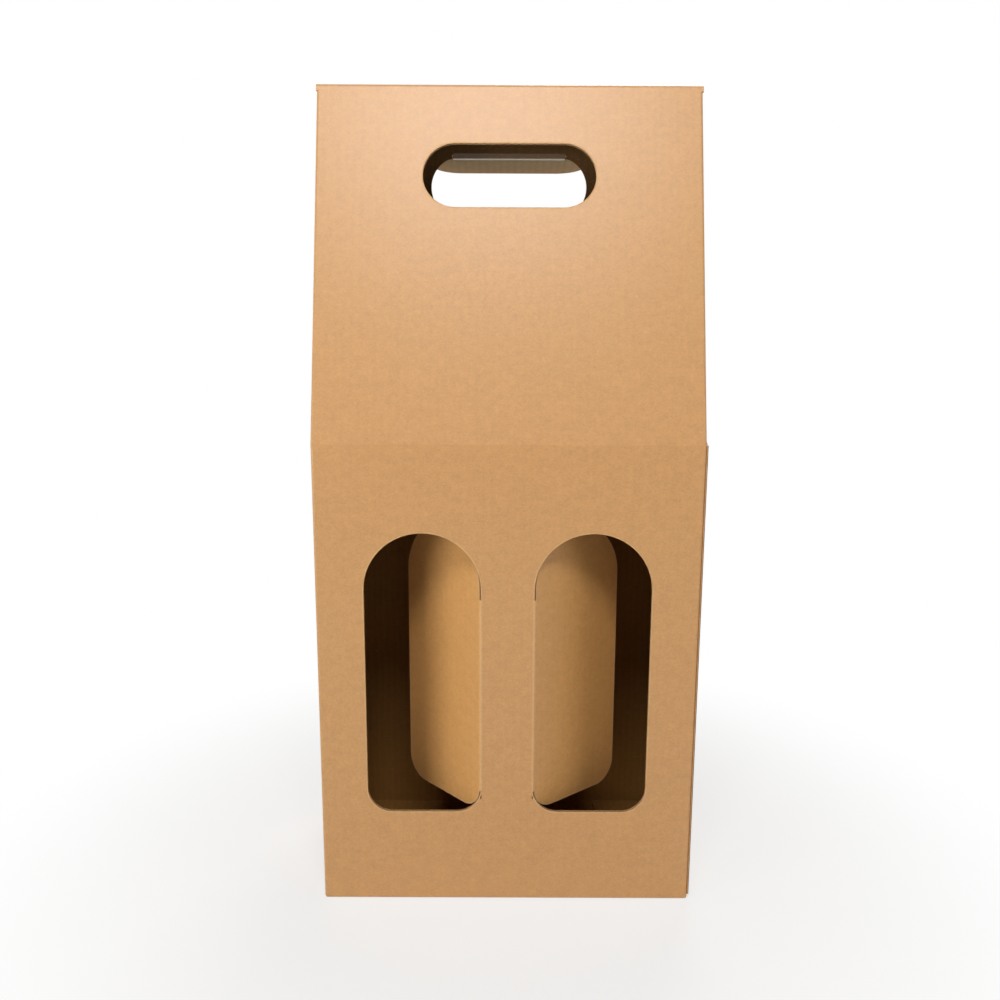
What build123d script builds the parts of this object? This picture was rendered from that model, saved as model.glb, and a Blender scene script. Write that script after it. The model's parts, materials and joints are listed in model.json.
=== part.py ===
from build123d import *
from math import atan2, cos, sin, sqrt, tan
import os

# A two-bottle carrier folded and glued from one blank of brown microflute board.
# The front faces -Y, +Z is up, and the origin is on the floor under the middle.
# All sizes are in millimetres and all angles in degrees, unless a name says otherwise.

# Overall sizes
front_width = 180.0  # across the front, from fold to fold
depth = 95.0  # front to back, outside
body_height = 227.0  # floor to the crease where the front and back start to lean
total_height = 391.0
crest_width = 12.0  # strip along the top, front to back

# The board and how it folds
board = 1.5  # one layer of microflute board
layer_gap = 0.25  # between two layers that touch but aren't glued
fold_radius = 1.75  # outside of a crease that runs across the box
corner_radius = 1.2  # outside of a crease that runs up the box
kerf = 0.3  # cutting gap round a flap
hinge_gap = 0.25  # running gap round the rounded root of a flap
crest_overhang = 0.4  # how far the crest strip sticks out past the folds at each side
crest_ends_reach = 3.0  # how far those ends go down the front slope

# Windows and their flaps
divider_width = 25.0  # wall between the two windows
window_width = 55.0
window_sill = 47.0  # floor to the lower edge of a window
window_top = 186.0
window_corner = 12.0  # radius of the lower corners
crease_low = 57.7  # the flap's crease runs between these two heights
crease_high = 154.0
slit_width = 0.5
slit_low = 53.7  # the cut goes on past both ends of the crease
slit_high = 160.5
root_relief = 1.8  # a flap's edge is cut back this far from its crease line past the crease's ends
crease_relief = 1.25  # the board gives way this far behind a crease, on the side that the flap opens to
left_flap_angle = 47.0
right_flap_angle = 39.0

# Hand holes and the flap that locks the closure
hand_hole_width = 80.5
hand_hole_height = 30.5
hand_hole_drop = 43.5  # crest to the middle of the hole, down the slope
lock_hole_width = 77.0  # the smaller hole, in the closure panel
lock_hole_height = 29.0
lock_hole_drop = 44.0
back_hole_width = 86.0  # the back wall's own hole is larger, so that the flap swings out through it
back_hole_height = 33.0
handle_crease_relief = 4.0  # the crease's groove runs on past both its ends
handle_flap_angle = 72.0

# Closure panel, tucked in behind the back wall
closure_width = 106.0
closure_length = 74.0  # crest to its lower edge, down the slope
closure_corner = 12.0

# Side seam: the side wall laps over a flap of the front wall
seam_flap = 18.0
seam_edge_setback = 0.2  # raw edge of the side wall behind the face of the front wall
seam_edge_crush = 0.9  # how far the press thinned that raw edge, on the outside
seam_crush_reach = 5.5  # front to back, over which the thinning fades
gable_seam_setback = 4.5  # the same edge higher up, where the side folds in
seam_foot = 3.0  # the seam flap stops this far short of the floor
seam_foot_rise = 6.0  # height at which its inner edge starts

# Base flaps
base_seam_reach = 8.0  # how far the two base flaps interlock past the middle
base_seam_bend = 6.0
base_seam_run = 18.0  # the seam runs out at 45 degrees over this length at each side
base_seam_width = 0.6
base_inset = 0.6  # raw ends of the base flaps inside the side walls
base_inset_margin = 7.0  # that cut stops this far short of the front and back faces
inner_flap_reach = 38.0  # the side walls' own base flaps, from the wall inwards
inner_flap_edge = 3.0  # their edge beside the front or back wall
inner_flap_slant = 40.0

# Places that follow from the sizes
left_face = -(front_width + board - crest_overhang) / 2
front_right = left_face + front_width
right_face = front_right + board
front_middle = left_face + front_width / 2
half_depth = depth / 2
half_crest = crest_width / 2
wall_middle = half_depth - board / 2
side_foot = board + layer_gap  # raw lower edge of a side wall, above the base flaps
lean = atan2(half_depth - half_crest, total_height - body_height)  # radians
slope_down = Vector(0, sin(lean), -cos(lean))  # down the back slope
inner_low = half_depth - board / cos(lean)  # inner face of a leaning wall at its crease
inner_top = half_crest - board / cos(lean)  # and at the crest
crest_gap = 0.5  # between the crest strip and the folded-in sides
gable_top = total_height - board - crest_gap


def front_slope(drop):
    """The point on the leaning front wall's face that lies drop below the crest."""
    return Vector(front_middle, -half_crest - drop * sin(lean), total_height - drop * cos(lean))


def back_slope(drop, inset):
    """The point drop below the crest and inset into the board from the leaning back wall's face."""
    foot = Vector(front_middle, half_crest, total_height) + slope_down * drop
    return foot - Vector(0, cos(lean), sin(lean)) * inset


# Front, base, back and leaning walls: the blank wrapped across the box in one loop


def wrapped_walls(right_end):
    with BuildPart() as walls:
        with BuildSketch(Plane.YZ.offset(left_face)) as outline:
            with BuildLine():
                FilletPolyline(
                    (-half_depth, 0),
                    (half_depth, 0),
                    (half_depth, body_height),
                    (half_crest, total_height),
                    (-half_crest, total_height),
                    (-half_depth, body_height),
                    radius=fold_radius,
                    close=True,
                )
            make_face()
        extrude(amount=right_end - left_face)
        fillet(walls.faces().filter_by(Axis.X).edges(), corner_radius)
        with BuildSketch(Plane.YZ.offset(left_face)):
            add(outline.sketch_local)
            offset(amount=-board)
        extrude(amount=right_end - left_face, mode=Mode.SUBTRACT)
    return walls.part


# Crest strip's rear fold, where the closure panel turns down inside the back wall
closure_inset = board * 1.5 + layer_gap  # back wall's face to the closure panel's middle
crest_middle_height = total_height - board / 2
closure_fold = half_crest + board / 2 * tan(lean) - closure_inset / cos(lean)

with BuildPart() as front_wrap:
    add(wrapped_walls(front_right))
    split(bisect_by=Plane.XZ.offset(-closure_fold), keep=Keep.TOP)

back_edge = Vector(0, half_crest, total_height) + slope_down * board
with BuildPart() as back_wrap:
    add(wrapped_walls(right_face))
    split(bisect_by=Plane.XZ, keep=Keep.BOTTOM)
    split(bisect_by=Plane(origin=back_edge, z_dir=slope_down), keep=Keep.TOP)

with BuildPart() as crest_ends:
    with BuildSketch(Plane.YZ.offset(left_face - crest_overhang)):
        with BuildLine():
            FilletPolyline(
                (
                    -half_crest - crest_ends_reach * sin(lean),
                    total_height - crest_ends_reach * cos(lean),
                ),
                (-half_crest, total_height),
                (closure_fold, total_height),
                radius=fold_radius,
            )
            offset(amount=board, side=Side.RIGHT, closed=True)
        make_face()
    extrude(amount=front_width + 2 * crest_overhang)

with BuildPart() as closure_panel:
    with BuildSketch(Plane.YZ.offset(front_middle)):
        with BuildLine():
            FilletPolyline(
                (0, crest_middle_height),
                (closure_fold, crest_middle_height),
                (
                    closure_fold + closure_length * sin(lean),
                    crest_middle_height - closure_length * cos(lean),
                ),
                radius=fold_radius - board / 2,
            )
        trace(line_width=board)
    extrude(amount=closure_width / 2, both=True)
    lower_edge = closure_panel.faces().sort_by(Axis.Z)[0]
    fillet(lower_edge.edges().sort_by(SortBy.LENGTH)[:2], closure_corner)


# Side walls, with the gable sides that fold in between the leaning walls

seam_edge = -half_depth + seam_edge_setback  # Y of the side wall's raw edge

with BuildPart() as side_walls:
    with BuildSketch(Plane.YZ.offset(left_face)):
        with Locations((0, (side_foot + body_height) / 2)):
            Rectangle(depth - 2 * corner_radius, body_height - side_foot)
    extrude(amount=board)
    with BuildSketch(Plane.YZ.offset(front_right)):
        with BuildLine():
            Polyline(
                (seam_edge, seam_foot),
                (seam_edge, body_height),
                (half_depth - corner_radius, body_height),
                (half_depth - corner_radius, side_foot),
                (seam_edge + seam_foot, side_foot),
                close=True,
            )
        make_face()
    extrude(amount=board)
    with BuildSketch(Plane.XY.offset(side_foot)):
        with BuildLine():
            Polyline(
                (right_face - seam_edge_crush, seam_edge),
                (right_face, seam_edge + seam_crush_reach),
                (right_face, seam_edge),
                close=True,
            )
        make_face()
    extrude(amount=body_height - side_foot, mode=Mode.SUBTRACT)

with BuildPart() as seam:
    with BuildSketch(Plane.YZ.offset(front_right)):
        with BuildLine():
            Polyline(
                (-half_depth + board / 2, seam_foot),
                (-half_depth + board / 2, body_height),
                (-half_depth + seam_flap, body_height),
                (-half_depth + seam_flap, seam_foot_rise),
                (-half_depth + seam_flap - seam_foot, seam_foot),
                close=True,
            )
        make_face()
    extrude(amount=-board)

# The folded-in side keeps the lengths of the flat blank, which gives the place of its tip:
# the tip is as far from the two lower corners and the two crest corners as on the blank.
slope_length = sqrt((half_depth - half_crest) ** 2 + (total_height - body_height) ** 2)
tip_rise = (slope_length**2 - (depth - crest_width) * depth / 4) / (total_height - body_height)
tip_inset = sqrt(slope_length**2 - tip_rise**2)
gable_reach = tip_inset + 4 * board  # deep enough for the inner faces to meet past the tip


def gable_space(outer_x, inward, centre, front, back):
    """The space that a folded-in side leaves open, with its three faces moved into the box."""
    tip = Vector(outer_x + inward * tip_inset, 0, body_height + tip_rise)
    front_low = Vector(outer_x, -inner_low, body_height)
    front_top = Vector(outer_x, -inner_top, total_height)
    back_low = Vector(outer_x, inner_low, body_height)
    back_top = Vector(outer_x, inner_top, total_height)
    centre_normal = (back_low - front_low).cross(tip - front_low).normalized() * -inward
    front_normal = (front_top - front_low).cross(tip - front_low).normalized() * inward
    back_normal = (back_top - back_low).cross(tip - back_low).normalized() * -inward
    with BuildPart() as space:
        with BuildSketch(Plane.YZ.offset(outer_x)):
            with BuildLine():
                Polyline(
                    (-inner_low, body_height),
                    (inner_low, body_height),
                    (inner_top, total_height),
                    (-inner_top, total_height),
                    close=True,
                )
            make_face()
        extrude(amount=inward * gable_reach)
        split(bisect_by=Plane(tip - centre_normal * centre, z_dir=centre_normal))
        split(bisect_by=Plane(tip - front_normal * front, z_dir=front_normal))
        split(bisect_by=Plane(tip - back_normal * back, z_dir=back_normal))
        split(bisect_by=Plane.XY.offset(gable_top), keep=Keep.BOTTOM)
    return space.part


with BuildPart() as left_gable:
    add(gable_space(left_face, 1, board, board, board))
    add(gable_space(left_face, 1, 0, 0, 0), mode=Mode.SUBTRACT)

# The right gable side starts behind the front wall, where its raw edge is glued on a seam flap
with BuildPart() as right_gable:
    add(gable_space(right_face, -1, board, board, board))
    add(gable_space(right_face, -1, 0, 0, 0), mode=Mode.SUBTRACT)
    front_inside = Plane(
        Vector(0, -inner_low, body_height), z_dir=Vector(0, cos(lean), -sin(lean))
    )
    split(bisect_by=front_inside.offset(gable_seam_setback))

with BuildPart() as gable_seam:
    add(gable_space(right_face, -1, board, 2 * board, board))
    add(gable_space(right_face, -1, board, board, board), mode=Mode.SUBTRACT)
    split(bisect_by=front_inside.offset(seam_flap), keep=Keep.BOTTOM)


# Base: two flaps that interlock across the middle, with the side walls' flaps glued on them

with BuildPart() as inner_base_flaps:
    with BuildSketch(Plane.XY.offset(board)):
        for wall, turn in ((right_face - board, 1), (left_face + board, -1)):
            with BuildLine():
                Polyline(
                    (wall, turn * (half_depth - inner_flap_edge)),
                    (wall - turn * inner_flap_reach, turn * (half_depth - inner_flap_edge)),
                    (wall - turn * inner_flap_reach, 0),
                    (wall, -turn * inner_flap_slant),
                    close=True,
                )
            make_face()
    extrude(amount=board)

with BuildPart() as base_cuts:
    with BuildSketch(Plane.XY):
        with BuildLine():
            seam_bend = front_width / 2 - base_seam_run
            Polyline(
                (left_face, base_seam_reach + base_seam_run),
                (-seam_bend, base_seam_reach),
                (-base_seam_bend, base_seam_reach),
                (base_seam_bend, -base_seam_reach),
                (seam_bend, -base_seam_reach),
                (right_face, -base_seam_reach - base_seam_run),
            )
        trace(line_width=base_seam_width)
        with Locations((left_face, 0), (right_face, 0)):
            Rectangle(2 * base_inset, depth - 2 * base_inset_margin)
    extrude(amount=board)


# Windows, in a plane that stands on a flap's crease and is turned as far as the flap


def flap_plane(side, opened):
    """Local X runs from the crease to the flap's free edge, local Y runs up."""
    crease_x = front_middle + side * divider_width / 2
    out = Vector(1, 0, 0).rotate(Axis.Z, 90 - side * (90 - opened))
    return Plane(origin=(crease_x, -wall_middle, 0), x_dir=out, z_dir=out.cross(Vector(0, 0, 1)))


def window_outline(margin):
    spring = window_top - window_width / 2
    with BuildSketch() as outline:
        with Locations((window_width / 2, (window_sill + spring) / 2)):
            Rectangle(window_width, spring - window_sill)
        fillet(outline.vertices().group_by(Axis.Y)[0], window_corner)
        with Locations((window_width / 2, spring)):
            Circle(window_width / 2)
        if margin:
            offset(amount=-margin)
    return outline.sketch


def window_flap(side, opened):
    with BuildPart() as flap:
        with BuildSketch(flap_plane(side, opened)):
            add(window_outline(kerf))
            with Locations((0, (window_sill + window_top) / 2)):
                Rectangle(2 * root_relief, window_top - window_sill, mode=Mode.SUBTRACT)
            with Locations((root_relief, (crease_low + crease_high) / 2)):
                Rectangle(2 * root_relief, crease_high - crease_low)
        extrude(amount=board / 2, both=True)
        with BuildSketch(Plane.XY.offset(crease_low)):
            with Locations(flap_plane(side, opened).origin):
                Circle(board / 2)
        extrude(amount=crease_high - crease_low)
    return flap.part


def hand_hole(plane, width, height):
    with BuildPart() as hole:
        with BuildSketch(plane):
            SlotOverall(width, height)
        extrude(amount=board, both=True)
    return hole.part


back_out = Vector(0, cos(lean), sin(lean))
front_out = Vector(0, -cos(lean), sin(lean))
across = Vector(1, 0, 0)
front_hole_plane = Plane(front_slope(hand_hole_drop), x_dir=across, z_dir=front_out)
lock_hole_plane = Plane(back_slope(lock_hole_drop, closure_inset), x_dir=across, z_dir=back_out)
back_hole_plane = Plane(back_slope(lock_hole_drop, 0), x_dir=across, z_dir=back_out)

# The handle flap's crease runs along the straight upper edge of the closure panel's hole
handle_crease = back_slope(lock_hole_drop - lock_hole_height / 2, closure_inset)
handle_crease_length = lock_hole_width - lock_hole_height
handle_out = slope_down.rotate(Axis.X, handle_flap_angle)
handle_crease_plane = Plane(
    handle_crease - across * handle_crease_length / 2, x_dir=slope_down, z_dir=across
)

with BuildPart() as handle_flap:
    with BuildSketch(Plane(handle_crease, x_dir=across, z_dir=across.cross(handle_out))):
        with Locations((0, lock_hole_height / 2)):
            SlotOverall(lock_hole_width - 2 * kerf, lock_hole_height - 2 * kerf)
        Rectangle(lock_hole_width, 2 * root_relief, mode=Mode.SUBTRACT)
        with Locations((0, root_relief)):
            Rectangle(handle_crease_length, 2 * root_relief)
    extrude(amount=board / 2, both=True)
    with BuildSketch(handle_crease_plane):
        Circle(board / 2)
    extrude(amount=handle_crease_length)

left_window_flap = window_flap(-1, left_flap_angle)
right_window_flap = window_flap(1, right_flap_angle)


with BuildPart() as carrier:
    add(front_wrap.part)
    add(back_wrap.part)
    add(crest_ends.part)
    add(side_walls.part)
    add(seam.part)
    add(left_gable.part)
    add(right_gable.part)
    add(gable_seam.part)
    add(base_cuts.part, mode=Mode.SUBTRACT)
    add(inner_base_flaps.part)
    for side in (-1, 1):
        with BuildSketch(flap_plane(side, 0)):
            add(window_outline(0))
            with Locations((0, (slit_low + slit_high) / 2)):
                Rectangle(slit_width, slit_high - slit_low)
        extrude(amount=board, both=True, mode=Mode.SUBTRACT)
        with BuildSketch(Plane.XY.offset(crease_low - kerf)):
            with Locations(flap_plane(side, 0).origin):
                Circle(board / 2 + hinge_gap)
                behind = Align.MAX if side > 0 else Align.MIN
                Rectangle(crease_relief, board / 2, align=(behind, Align.MIN))
        extrude(amount=crease_high - crease_low + 2 * kerf, mode=Mode.SUBTRACT)
    add(hand_hole(front_hole_plane, hand_hole_width, hand_hole_height), mode=Mode.SUBTRACT)
    add(hand_hole(back_hole_plane, back_hole_width, back_hole_height), mode=Mode.SUBTRACT)
    add(closure_panel.part)
    add(hand_hole(lock_hole_plane, lock_hole_width, lock_hole_height), mode=Mode.SUBTRACT)
    with BuildSketch(handle_crease_plane.offset(-handle_crease_relief)):
        Circle(board / 2 + hinge_gap)
        Rectangle(crease_relief, board / 2, align=(Align.MAX, Align.MIN))
    extrude(amount=handle_crease_length + 2 * handle_crease_relief, mode=Mode.SUBTRACT)

carrier.part.label = "carrier"
left_window_flap.label = "left_window_flap"
right_window_flap.label = "right_window_flap"
handle_flap.part.label = "handle_flap"

os.makedirs("parts", exist_ok=True)
export_step(carrier.part, "parts/carrier.step")
export_step(left_window_flap, "parts/left_window_flap.step")
export_step(right_window_flap, "parts/right_window_flap.step")
export_step(handle_flap.part, "parts/handle_flap.step")
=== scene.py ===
import json
import math
import random

import bmesh
import bpy
from bpy.props import FloatProperty, FloatVectorProperty, PointerProperty, StringProperty
from mathutils import Matrix, Vector


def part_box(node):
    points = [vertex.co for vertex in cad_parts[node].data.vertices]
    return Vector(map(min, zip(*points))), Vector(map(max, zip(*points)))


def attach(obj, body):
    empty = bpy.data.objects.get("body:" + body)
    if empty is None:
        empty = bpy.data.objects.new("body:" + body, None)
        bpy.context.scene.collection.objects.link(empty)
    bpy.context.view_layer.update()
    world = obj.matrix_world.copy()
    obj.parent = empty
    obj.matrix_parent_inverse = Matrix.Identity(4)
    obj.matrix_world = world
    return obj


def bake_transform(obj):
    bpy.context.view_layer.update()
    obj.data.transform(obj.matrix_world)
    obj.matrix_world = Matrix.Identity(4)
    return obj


# A bottle carrier folded from one blank of brown microflute board.
# The walls and flaps come with the frame. This file gives them their kraft finish, with painted
# light on the flaps and painted shade inside the peak, and adds the raw corrugated cut edges, with
# painted shade in the flutes' hollows and pale rims of crushed liner with a painted highlight, the
# liner that bends round the flaps' creases, pale with bared fibres and a painted highlight, the
# corners past the creases' ends and the raw edge of the side seam with a strip of painted shadow,
# and then the stage round them.

bl_info = {
    "name": "Bottle carrier box",
    "version": (1, 0, 0),
    "blender": (4, 5, 0),
    "location": "View3D > Sidebar > Bottle carrier",
    "description": "Kraft finish, cut edges, creases and stage for a folded bottle carrier",
    "category": "Object",
}

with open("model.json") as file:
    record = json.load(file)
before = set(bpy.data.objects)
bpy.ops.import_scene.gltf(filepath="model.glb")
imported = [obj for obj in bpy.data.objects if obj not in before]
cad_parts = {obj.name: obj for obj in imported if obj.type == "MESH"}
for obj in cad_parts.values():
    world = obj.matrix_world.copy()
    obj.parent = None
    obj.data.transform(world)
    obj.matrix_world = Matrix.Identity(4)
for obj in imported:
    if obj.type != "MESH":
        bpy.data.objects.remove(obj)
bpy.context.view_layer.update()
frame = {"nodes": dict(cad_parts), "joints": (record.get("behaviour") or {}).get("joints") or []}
JOINTS = {joint["name"]: joint for joint in frame["joints"]}

X = Vector((1, 0, 0))
Y = Vector((0, 1, 0))
Z = Vector((0, 0, 1))
TURN = 2 * math.pi
SIDES = {"left": -1, "right": 1}

# How fine the meshes are: where points merge, the longest steps in metres, and the least number of
# steps in a radian of an arc and in one flute

MERGE = 1e-6
ARC_STEP = 0.0012
SKIN_STEP = 0.0004
CREASE_STEP = 0.002
SEAM_STEP = 0.004
RADIAN_STEPS = 5
FLUTE_STEPS = 9

# Layers at a cut edge, in metres: how far paper stands out of the cut, how ragged it is, how ragged
# the rim is, and the smallest gap between two faces

PAPER_PROUD = 0.00006
PAPER_RAGGED = 0.00003
RIM_RAGGED = 0.0002
HAIR = 0.00001

# Slots of the materials at a cut edge, and at the side seam. The hollows' slot holds painted shade,
# the rim's crushed liner with a painted highlight, and the seam's second slot painted shadow

PAPER = 0
HOLLOW_SHADE = 1
RIM_AND_HIGHLIGHT = 2
SEAM_PAPER = 0
SEAM_PAINTED_SHADOW = 1

# Bent liner, patches and the seam's strip of painted shadow, in metres

SKIN = 0.00004
SEAM_SHADOW_WIDTH = 0.0006
HANDLE_CREASE_PAST = 0.007
PATCH_REACH = 0.002
PATCH_CLEAR = 0.0001
PATCH_DEPTH = 0.0001
PATCH_THICKNESS = 0.00009

# Widths of the paper's patterns, each as a length over how many lie in it. Real fibres are about
# 0.03 mm wide, too fine to show, so fibres, fray and fuzz are drawn as coarse as they need to be.

MM = 0.001
CLOUD = 25 * MM / 6
GRAIN = 10 * MM / 9
FINE_GRAIN = 1 * MM / 3
FIBRE = 2 * MM / 3
FRAY = 10 * MM / 11
FUZZ = 5 * MM / 13
BLOTCH = 50 * MM / 13
FLOOR_CLOUD = 25 * MM

# Mottling of a liner: width, detail, roughness and weight of each layer, how the patterns are
# stretched along each axis, and how much of the pale colour a bared fibre has

MOTTLING = {
    "clouds": (CLOUD, 3.0, 0.6, 0.25),
    "grain": (GRAIN, 4.0, 0.7, 0.45),
    "fine": (FINE_GRAIN, 2.0, 0.6, 0.3),
}
SHEET_STRETCH = (1.0, 1.0, 1.25)
FIBRE_STRETCH = (0.28, 0.28, 1.6)
FIBRE_SHARE = 0.16

# Gloss of the liner's two sides, and relief of liner and of raw paper in metres

OUTSIDE_SPECULAR = 0.5
INSIDE_SPECULAR = 0.15
OUTSIDE_SMOOTHER = 0.4
FLUTE_RELIEF = 12
LINER_RELIEF = 0.00006
RAW_RELIEF = 0.00008

# Where the wall's finish changes: beside the side's fold and above the waist in metres, how far a
# normal leans to X on a side wall, and between which heights above the waist the inside turns to
# the painted shade of the peak

FOLD_MARGIN = 0.0006
WAIST_MARGIN = 0.0004
SIDEWAYS = 0.7
SHADE_FROM = 0.06
SHADE_TO = 0.1

# Paleness at a crease: distances from the hinge line where it starts to fade and ends, in metres,
# how ragged that is, how far a normal may lean where the skin lies on the wall, and how pale it is
# in the light, bared fibres with a painted highlight, and in shade, bared fibres alone

WEAR_FROM = 0.00105
WEAR_TO = 0.0015
WEAR_RAGGED = 0.0007
ON_WALL = 0.95
CREASE_WEAR_AND_HIGHLIGHT = 0.34
SHADED_WEAR = 0.04

# The softboxes: azimuth and elevation in degrees, distance, width and height in metres, and power.
# Azimuth 0 is in front, and negative is to the left. All of them look at a point above the origin.

SOFTBOXES = {
    "high_softbox": (-3, 50, 0.9, 0.4, 0.24, "high_power"),
    "left_softbox": (-54, 3, 1.3, 0.7, 0.3, "left_power"),
    "right_softbox": (62, 4, 1.2, 0.5, 0.3, "right_power"),
    "rear_softbox": (165, 42, 1.2, 0.5, 0.5, "rear_power"),
    "backdrop_bounce": (180, -3, 0.8, 0.8, 0.3, "back_power"),
}
AIM_HEIGHT = 0.2
FLOOR_REACH = 6.0

# The floor's own light, as a share of what is seen, and how it grows away from the box, in metres

GLOW_NEAR = 0.66
GLOW_FAR = 1.0
NEAR = 0.1
FAR = 0.32
GLOW_CLOUD = 0.02


class BoardSizes(bpy.types.PropertyGroup):
    """The board and the cuts in it, in metres"""

    board: FloatProperty(
        name="Board", description="Thickness of the board", default=0.0015, unit="LENGTH"
    )
    liner: FloatProperty(
        name="Liner", description="Thickness of one liner sheet", default=0.00025, unit="LENGTH"
    )
    flute_pitch: FloatProperty(
        name="Flute pitch", description="From one flute to the next", default=0.0036, unit="LENGTH"
    )
    kerf: FloatProperty(
        name="Kerf", description="Cutting gap round a flap", default=0.0003, unit="LENGTH"
    )
    window_width: FloatProperty(
        name="Window width", description="Crease to free edge", default=0.055, unit="LENGTH"
    )
    window_sill: FloatProperty(
        name="Window sill", description="Floor to the window", default=0.047, unit="LENGTH"
    )
    window_top: FloatProperty(
        name="Window top", description="Floor to the top of the arch", default=0.186, unit="LENGTH"
    )
    window_corner: FloatProperty(
        name="Window corner", description="Radius of a lower corner", default=0.012, unit="LENGTH"
    )
    crease_low: FloatProperty(
        name="Crease foot", description="Floor to the crease", default=0.0577, unit="LENGTH"
    )
    crease_high: FloatProperty(
        name="Crease head", description="Floor to the crease's end", default=0.154, unit="LENGTH"
    )
    hand_hole_width: FloatProperty(
        name="Hand hole width", description="Across the front hole", default=0.0805, unit="LENGTH"
    )
    hand_hole_height: FloatProperty(
        name="Hand hole height", description="Up the front slope", default=0.0305, unit="LENGTH"
    )
    hand_hole_drop: FloatProperty(
        name="Hand hole drop", description="Crest to its middle", default=0.0435, unit="LENGTH"
    )
    lock_hole_width: FloatProperty(
        name="Lock hole width", description="Across its hole", default=0.077, unit="LENGTH"
    )
    lock_hole_height: FloatProperty(
        name="Lock hole height", description="Up the closure's slope", default=0.029, unit="LENGTH"
    )
    lock_hole_drop: FloatProperty(
        name="Lock hole drop", description="Crest to its middle", default=0.044, unit="LENGTH"
    )
    back_hole_width: FloatProperty(
        name="Back hole width", description="Across the back hole", default=0.086, unit="LENGTH"
    )
    back_hole_height: FloatProperty(
        name="Back hole height", description="Up the back slope", default=0.033, unit="LENGTH"
    )
    body_height: FloatProperty(
        name="Body height", description="Floor to the waist crease", default=0.227, unit="LENGTH"
    )
    crest_width: FloatProperty(
        name="Crest width", description="Strip along the top", default=0.012, unit="LENGTH"
    )
    fold_in: FloatProperty(
        name="Fold-in", description="How far a side leans in for each unit of height", default=0.29
    )
    rim: FloatProperty(
        name="Rim", description="Liner that the cutting die crushed", default=0.0004, unit="LENGTH"
    )
    crease_lap: FloatProperty(
        name="Crease lap", description="Bent liner beside a crease", default=0.0018, unit="LENGTH"
    )
    seam_front: FloatProperty(
        name="Seam edge", description="Middle plane to the side seam", default=0.0473, unit="LENGTH"
    )
    seam_crush: FloatProperty(
        name="Seam crush", description="Thinning of the seam's edge", default=0.0009, unit="LENGTH"
    )
    seam_reach: FloatProperty(
        name="Seam reach", description="Depth of the crushed edge", default=0.0055, unit="LENGTH"
    )
    seam_foot: FloatProperty(
        name="Seam foot", description="Floor to the seam's edge", default=0.003, unit="LENGTH"
    )


class KraftColours(bpy.types.PropertyGroup):
    """Colours of the board, as sRGB hex values"""

    outer: StringProperty(name="Outer liner", description="Kraft outside", default="C99761")
    inner: StringProperty(name="Inner liner", description="Greyer inside", default="A0743C")
    fluting: StringProperty(name="Fluting", description="Raw edge of the wave", default="BC9468")
    # Painted shade: a dark sheet in the hollows between the flutes at a cut edge
    hollow: StringProperty(name="Flute hollow", description="Between the waves", default="6B4B2E")
    # Bared fibres, and at the window creases and the cut rims also a painted highlight
    wear_and_highlight: StringProperty(name="Worn crease", description="Fibres bared at a fold", default="E3BE8E")
    # Painted light: the flaps are the same kraft as the walls, in a lighter, warmer colour for
    # their light
    flap: StringProperty(name="Flap liner", description="Outside of the flaps", default="D59E5E")
    seam: StringProperty(name="Seam edge", description="Crushed and dusty", default="9A7C58")
    # Painted shadow: a dark strip in the side seam's gap
    gap: StringProperty(name="Seam gap", description="Shadow in the side seam", default="2E1A0C")
    # Painted shade: the inside above the waist lies in shade, and is given this darker liner colour
    peak: StringProperty(name="Inside of the peak", description="Liner in shade", default="6A4C2A")
    palm: StringProperty(name="Palm side", description="Inside of handle flap", default="B49C72")


class StageSettings(bpy.types.PropertyGroup):
    """Camera, lamps and floor"""

    camera_place: FloatVectorProperty(
        name="Camera", description="Its place", default=(-0.0048, -0.453, 0.275), subtype="XYZ"
    )
    focal_length: FloatProperty(
        name="Focal length", description="Millimetres on a 36 mm sensor", default=32.4
    )
    pitch: FloatProperty(name="Pitch", description="Degrees below the horizon", default=10.24)
    yaw: FloatProperty(name="Yaw", description="Degrees to the right", default=0.06)
    roll: FloatProperty(name="Roll", description="Degrees anticlockwise", default=0.25)
    ambient: FloatProperty(name="Ambient", description="Strength of the surround", default=0.05)
    high_power: FloatProperty(
        name="High power", description="High front softbox, watts", default=4.35
    )
    left_power: FloatProperty(name="Left power", description="Low left softbox, watts", default=7.4)
    right_power: FloatProperty(
        name="Right power", description="Low right softbox, watts", default=2.3
    )
    rear_power: FloatProperty(
        name="Rear power", description="High rear softbox, watts", default=5.0
    )
    back_power: FloatProperty(
        name="Back power", description="Backdrop's bounce, watts", default=0.5
    )
    paper: StringProperty(name="Floor", description="Pale paper sweep", default="F2F0EC")


def settings(name):
    """One of the scene's property groups."""
    return getattr(bpy.context.scene, name)


def linear(hex_colour):
    """An sRGB hex value as a linear colour with alpha."""
    channels = [int(hex_colour[i : i + 2], 16) / 255 for i in (0, 2, 4)]
    straight = [c / 12.92 if c <= 0.04045 else ((c + 0.055) / 1.055) ** 2.4 for c in channels]
    return (*straight, 1)


# Places that follow from the sizes and the frame


def lean():
    """Angle of the upper walls from the vertical."""
    low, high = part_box("carrier")
    sizes = settings("carrier_sizes")
    half_depth = (high.y - low.y) / 2
    return math.atan2(half_depth - sizes.crest_width / 2, high.z - sizes.body_height)


def front_middle():
    """X of the middle between the two window creases."""
    left = JOINTS["left_window_hinge"]["pos_m"][0]
    right = JOINTS["right_window_hinge"]["pos_m"][0]
    return (left + right) / 2


def opening_angle(joint_name):
    """How far a flap stands open at rest: its range ends where it is shut."""
    low, high = JOINTS[joint_name]["range_deg"]
    shut = high if joint_name == "left_window_hinge" else -low
    return math.radians(shut)


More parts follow.
